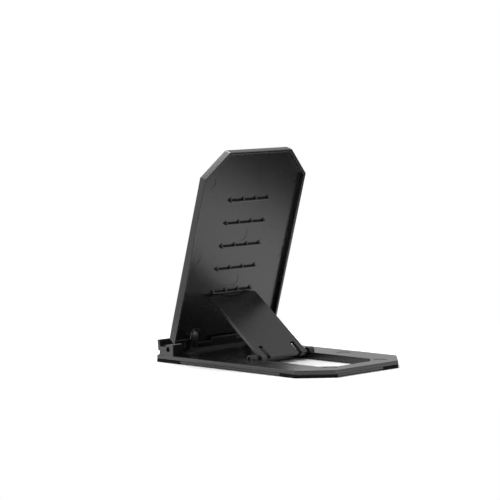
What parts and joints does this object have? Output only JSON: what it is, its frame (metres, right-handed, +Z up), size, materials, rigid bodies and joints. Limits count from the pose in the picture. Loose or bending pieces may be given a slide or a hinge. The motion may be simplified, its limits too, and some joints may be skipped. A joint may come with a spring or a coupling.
{
  "type": "folding phone stand",
  "caption": "Folding desk stand for a phone: flat base with a lipped phone cradle, a tilting backrest tray and a strut that catches under ledges on its back",
  "frame": {"origin": "centre of the base's footprint, on the table", "axes": "+X across the stand, +Y to the rear, away from the phone's lip, +Z up"},
  "size_m": [0.085, 0.135, 0.1277],
  "materials": {
    "base_plastic": "fine moulded texture, satin black",
    "backrest_plastic": "fine moulded texture, satin black",
    "strut_plastic": "fine moulded texture, satin black",
    "foot_rubber": "dull black rubber",
    "pad_rubber": "matte black silicone with fine ribs"
  },
  "bodies": {
    "base": {"base_plate": "base_plastic", "foot_front_left": "foot_rubber", "foot_front_right": "foot_rubber", "foot_rear_left": "foot_rubber", "foot_rear_right": "foot_rubber", "cradle_pad_left": "pad_rubber", "cradle_pad_right": "pad_rubber"},
    "backrest": {"backrest": "backrest_plastic", "backrest_grip_pad": "pad_rubber"},
    "strut": {"strut": "strut_plastic"}
  },
  "joints": [
    {"name": "backrest_tilt", "type": "hinge", "parent": "base", "child": "backrest", "pos_m": [0, -0.0573, 0.0082], "axis": [-1, 0, 0], "range_deg": [0, 72.5]},
    {"name": "strut_swing", "type": "hinge", "parent": "base", "child": "strut", "pos_m": [0, -0.00375, 0.0048], "axis": [-1, 0, 0], "range_deg": [0, 142.7]}
  ],
  "couplings": [
    {"joint": "strut_swing", "follows": "backrest_tilt", "ratio": 1.9683}
  ]
}
